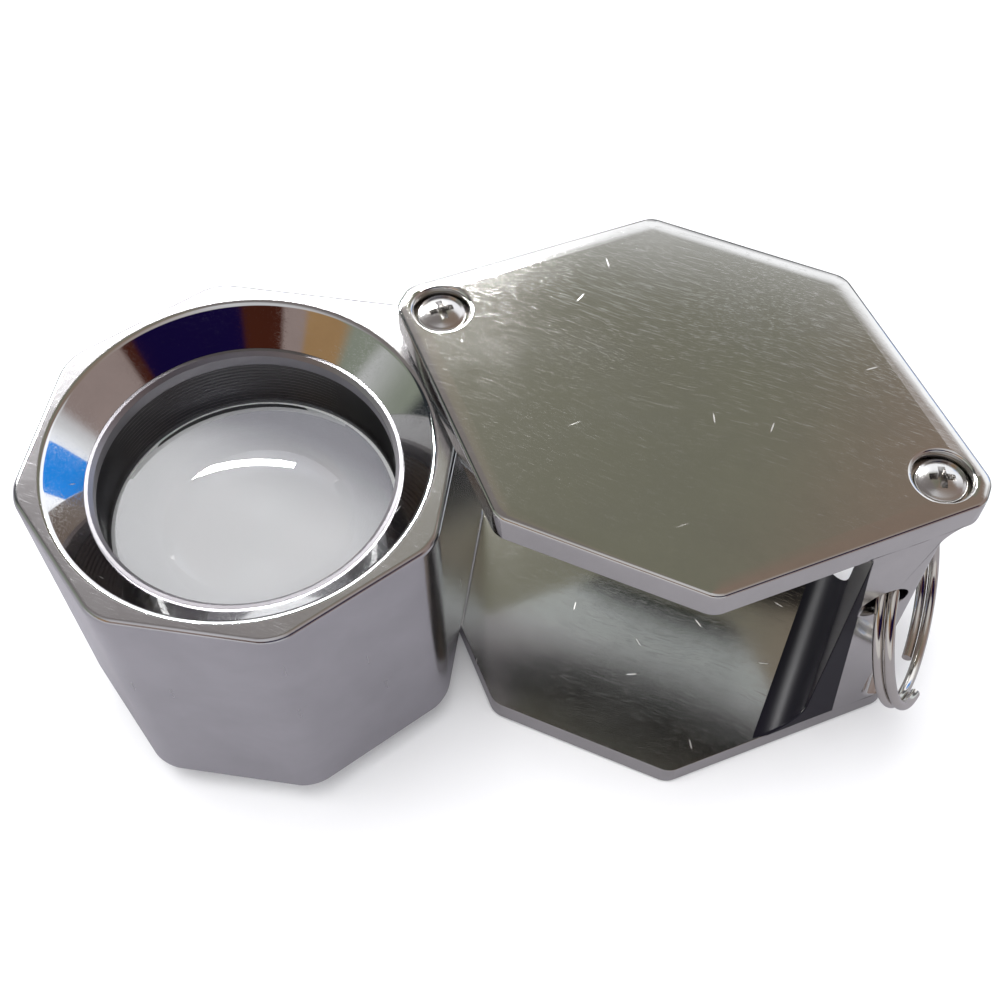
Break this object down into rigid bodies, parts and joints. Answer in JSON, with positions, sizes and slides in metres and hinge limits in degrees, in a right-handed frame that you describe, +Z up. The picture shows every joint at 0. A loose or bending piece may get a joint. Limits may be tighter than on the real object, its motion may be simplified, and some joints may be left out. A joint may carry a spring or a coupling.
{
  "type": "folding loupe",
  "caption": "Folding pocket magnifier: a six-sided metal case with an eight-sided lens housing that swings out on a pivot at one tip, and a split ring at the other.",
  "frame": {"origin": "centre of the case's bottom face, on the surface the loupe lies on", "axes": "+Z up through the case; +X from the pivot tip to the ring tip of the case; the lens housing is swung out towards -Y"},
  "size_m": [0.0643, 0.0443, 0.0296],
  "materials": {
    "case_chrome": "polished chrome plate with fine handling scratches",
    "housing_plate": "light alloy with chrome plate, satin on the sides and polished in the dishes",
    "screw_chrome": "bright chrome",
    "pivot_steel": "turned steel",
    "spring_steel": "tempered spring steel",
    "washer_brass": "plain bronze washer",
    "sleeve_alloy": "darkened light alloy with fine turned lines",
    "lens_glass": "clear coated optical glass",
    "ring_chrome": "bright plated spring wire"
  },
  "bodies": {
    "case": {"top_plate": "case_chrome", "bottom_plate": "case_chrome", "end_post": "case_chrome", "pivot_pillar": "pivot_steel", "pivot_screw_top": "screw_chrome", "pivot_screw_bottom": "screw_chrome", "post_screw_top": "screw_chrome", "post_screw_bottom": "screw_chrome", "spring_washer": "spring_steel", "friction_washer": "washer_brass"},
    "housing": {"lens_housing": "housing_plate", "upper_retaining_ring": "sleeve_alloy", "lower_retaining_ring": "sleeve_alloy", "upper_flint_lens": "lens_glass", "crown_lens": "lens_glass", "lower_flint_lens": "lens_glass"},
    "ring": {"split_ring": "ring_chrome"}
  },
  "joints": [
    {"name": "housing_swing", "type": "hinge", "parent": "case", "child": "housing", "pos_m": [-0.0178, 0, 0.0148], "axis": [0, 0, 1], "range_deg": [-240, 120]},
    {"name": "ring_swing", "type": "hinge", "parent": "case", "child": "ring", "pos_m": [0.0174, 0, 0.0199], "axis": [0, -1, 0], "range_deg": [0, 130]}
  ]
}
